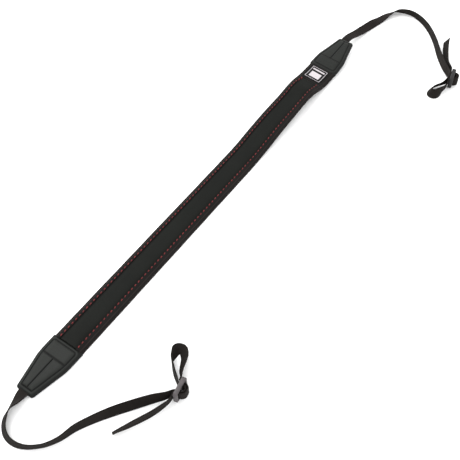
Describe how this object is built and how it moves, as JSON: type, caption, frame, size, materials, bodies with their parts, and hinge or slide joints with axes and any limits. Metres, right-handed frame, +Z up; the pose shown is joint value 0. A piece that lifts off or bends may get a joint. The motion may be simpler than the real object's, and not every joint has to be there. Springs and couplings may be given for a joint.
{
  "type": "camera neck strap",
  "caption": "Padded neck strap lying flat, with a sunk centre panel, end tabs, and narrow webbings looped through sliders to hold a camera by its strap lugs.",
  "frame": {"origin": "middle of the neck band's underside, on the floor", "axes": "+X along the band towards the label, +Z up from the floor"},
  "size_m": [0.7874, 0.1774, 0.0175],
  "materials": {
    "neck_band": "ribbed woven cloth over foam",
    "centre_panel": "smooth matt neoprene",
    "woven_label": "damask weave",
    "end_tab_label_side": "fine-grained leatherette",
    "end_tab_plain_side": "fine-grained leatherette",
    "webbing_label_side": "plain-woven narrow webbing",
    "webbing_plain_side": "plain-woven narrow webbing",
    "slider_label_side": "moulded, satin",
    "slider_plain_side": "moulded, satin"
  },
  "bodies": {
    "root": {"neck_band": "neck_band", "centre_panel": "centre_panel", "woven_label": "woven_label", "end_tab_label_side": "end_tab_label_side", "end_tab_plain_side": "end_tab_plain_side", "webbing_label_side": "webbing_label_side", "webbing_plain_side": "webbing_plain_side", "slider_label_side": "slider_label_side", "slider_plain_side": "slider_plain_side"}
  },
  "joints": []
}
